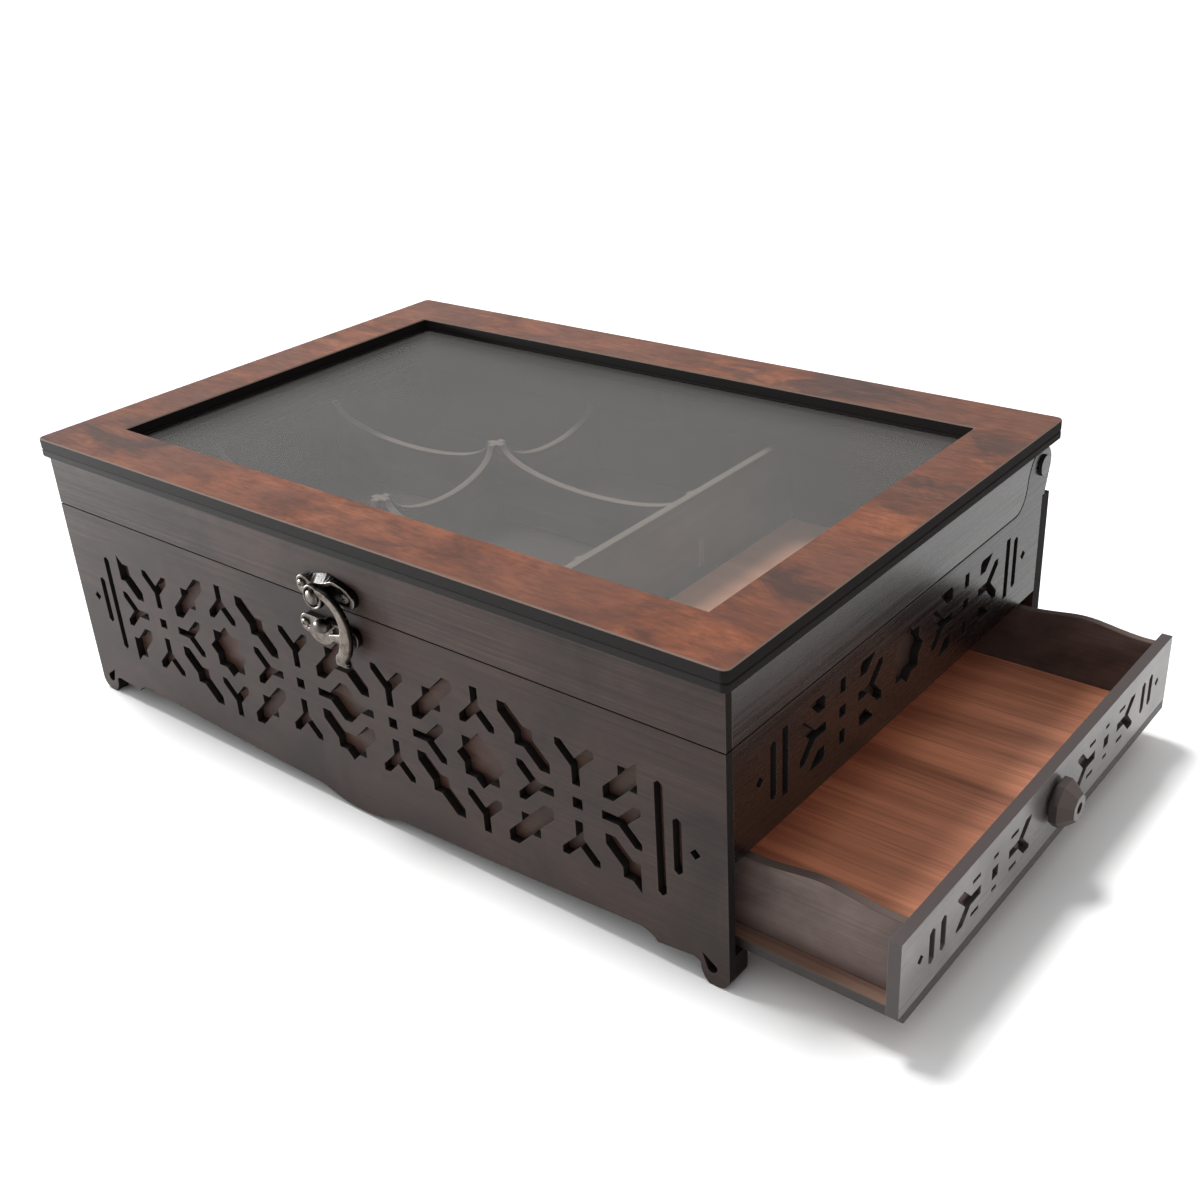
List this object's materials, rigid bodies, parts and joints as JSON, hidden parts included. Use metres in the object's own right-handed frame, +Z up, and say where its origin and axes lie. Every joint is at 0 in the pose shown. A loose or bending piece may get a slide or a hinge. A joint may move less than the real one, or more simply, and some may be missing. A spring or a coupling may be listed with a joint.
{
  "type": "tea bag box with drawer",
  "caption": "Flat wooden tea box with a glazed hinged lid over divided bays, pierced geometric fretwork walls, a front swing hook and a drawer that slides out of one side.",
  "frame": {"origin": "on the table, under the middle of the tray's outer walls", "axes": "+X right along the long front, out of the drawer's side; +Y to the back, where the lid hinges; +Z up"},
  "size_m": [0.3902, 0.2237, 0.115],
  "materials": {
    "stained_board": "satin",
    "pale_veneer": "satin",
    "burl_veneer": "gloss",
    "red_veneer": "satin",
    "pane": "gloss",
    "aged_brass": "aged"
  },
  "bodies": {
    "tray": {"front_panel": "stained_board", "back_panel": "stained_board", "left_panel": "stained_board", "right_panel": "stained_board", "front_liner": "stained_board", "back_liner": "stained_board", "left_liner": "stained_board", "right_liner": "stained_board", "bay_floor": "pale_veneer", "scooped_divider": "stained_board", "straight_divider": "stained_board", "cross_divider_front": "stained_board", "cross_divider_back": "stained_board", "runner_front": "stained_board", "runner_back": "stained_board", "hook_keeper": "aged_brass"},
    "lid": {"lid_top_frame": "burl_veneer", "lid_under_frame": "stained_board", "lid_pane": "pane", "lid_wall_front": "stained_board", "lid_wall_right": "stained_board", "lid_wall_left": "stained_board", "lid_wall_back": "stained_board", "hinge_rail_right": "stained_board", "hinge_rail_left": "stained_board", "hinge_peg_right": "stained_board", "hinge_peg_left": "stained_board", "hook_plate": "aged_brass", "hook_rivet": "aged_brass"},
    "hook": {"hook_arm": "aged_brass"},
    "drawer": {"drawer_front": "stained_board", "drawer_board": "stained_board", "drawer_wall_front": "stained_board", "drawer_wall_back": "stained_board", "drawer_end_wall": "stained_board", "drawer_lining": "red_veneer", "drawer_knob": "stained_board", "knob_screw": "aged_brass"}
  },
  "joints": [
    {"name": "lid_hinge", "type": "hinge", "parent": "tray", "child": "lid", "pos_m": [0, 0.099, 0.0996], "axis": [-1, 0, 0], "range_deg": [0, 100]},
    {"name": "hook_swing", "type": "hinge", "parent": "lid", "child": "hook", "pos_m": [-0.0016, -0.1116, 0.0915], "axis": [0, -1, 0], "range_deg": [0, 90]},
    {"name": "drawer_slide", "type": "slide", "parent": "tray", "child": "drawer", "axis": [1, 0, 0], "range_m": [-0.0529, 0.14]}
  ]
}
